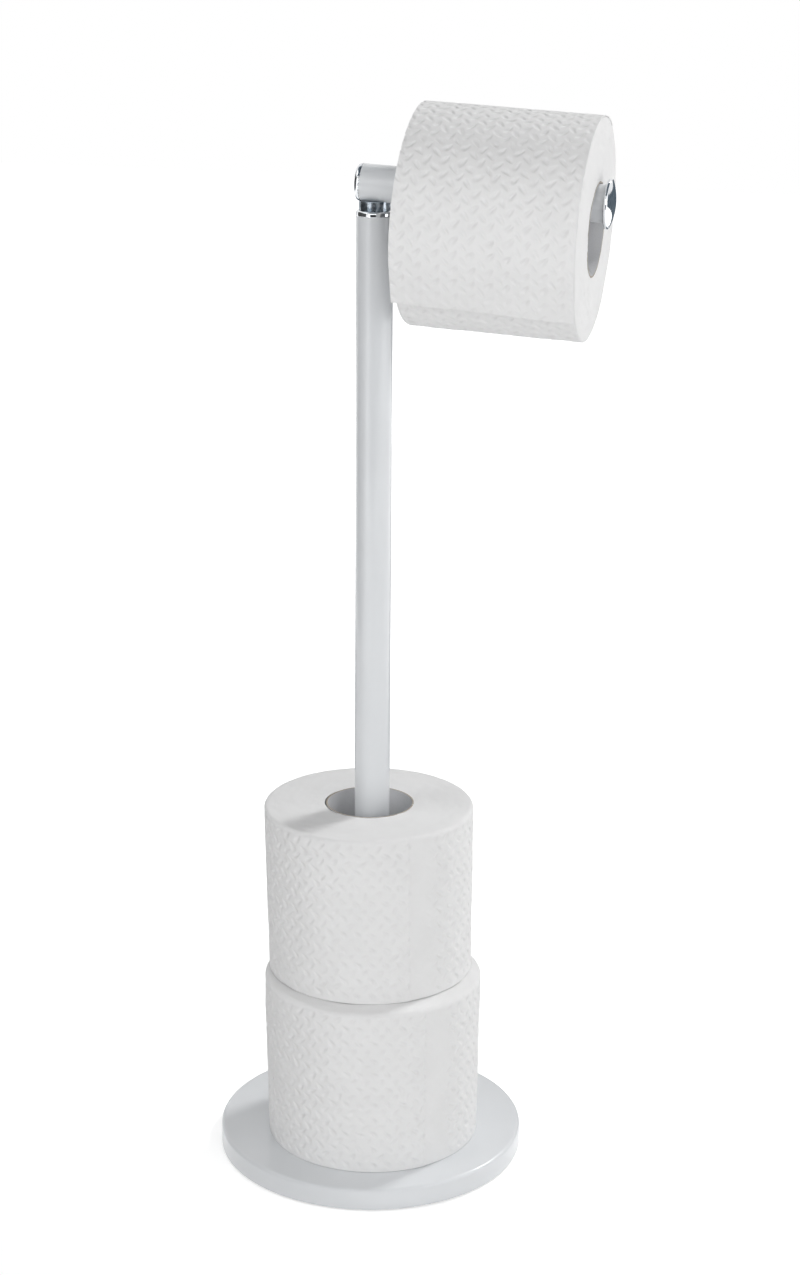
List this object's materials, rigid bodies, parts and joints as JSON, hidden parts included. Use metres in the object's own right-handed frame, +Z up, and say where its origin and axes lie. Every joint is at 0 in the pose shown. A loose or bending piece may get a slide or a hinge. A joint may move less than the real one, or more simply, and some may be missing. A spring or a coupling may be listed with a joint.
{
  "type": "toilet roll storage holder",
  "caption": "Free-standing toilet roll holder: weighted round base, upright post that stores spare rolls, and a swivelling arm with an end button that carries the roll in use.",
  "frame": {"origin": "on the floor, on the post's axis", "axes": "+Z up the post, +X along the arm from the post towards its button, +Y away from the side where the arm roll's last sheet ends"},
  "size_m": [0.2084, 0.169, 0.5824],
  "materials": {
    "white_lacquer": "gloss",
    "chrome": "polished",
    "zinc_steel": "satin",
    "ballast_iron": "matte",
    "foot_rubber": "matte",
    "tissue": "matte",
    "core_board": "matte"
  },
  "bodies": {
    "stand": {"base_cover": "white_lacquer", "base_weight": "ballast_iron", "base_pad": "foot_rubber", "base_washer": "zinc_steel", "base_bolt": "zinc_steel", "post_foot_insert": "zinc_steel", "post_tube": "white_lacquer", "post_collar": "chrome"},
    "arm": {"saddle_neck": "chrome", "arm_tube": "white_lacquer", "arm_rear_cap": "chrome", "arm_button": "chrome", "swivel_bolt": "zinc_steel", "swivel_washer": "zinc_steel"},
    "arm_roll": {"arm_roll_core": "core_board", "arm_roll_paper": "tissue", "arm_roll_loose_sheet": "tissue"},
    "lower_roll": {"lower_roll_core": "core_board", "lower_roll_paper": "tissue"},
    "upper_roll": {"upper_roll_core": "core_board", "upper_roll_paper": "tissue"}
  },
  "joints": [
    {"name": "arm_swivel", "type": "hinge", "parent": "stand", "child": "arm", "pos_m": [0, 0, 0.5268], "axis": [0, 0, 1], "continuous": true},
    {"name": "arm_roll_spin", "type": "hinge", "parent": "arm", "child": "arm_roll", "pos_m": [0.02255, 0, 0.52592], "axis": [0.9989, 0, -0.0471], "continuous": true},
    {"name": "lower_roll_lift", "type": "slide", "parent": "stand", "child": "lower_roll", "axis": [0, 0, 1], "range_m": [0, 0.12]},
    {"name": "upper_roll_lift", "type": "slide", "parent": "lower_roll", "child": "upper_roll", "axis": [0, 0, 1], "range_m": [0, 0.12]}
  ]
}
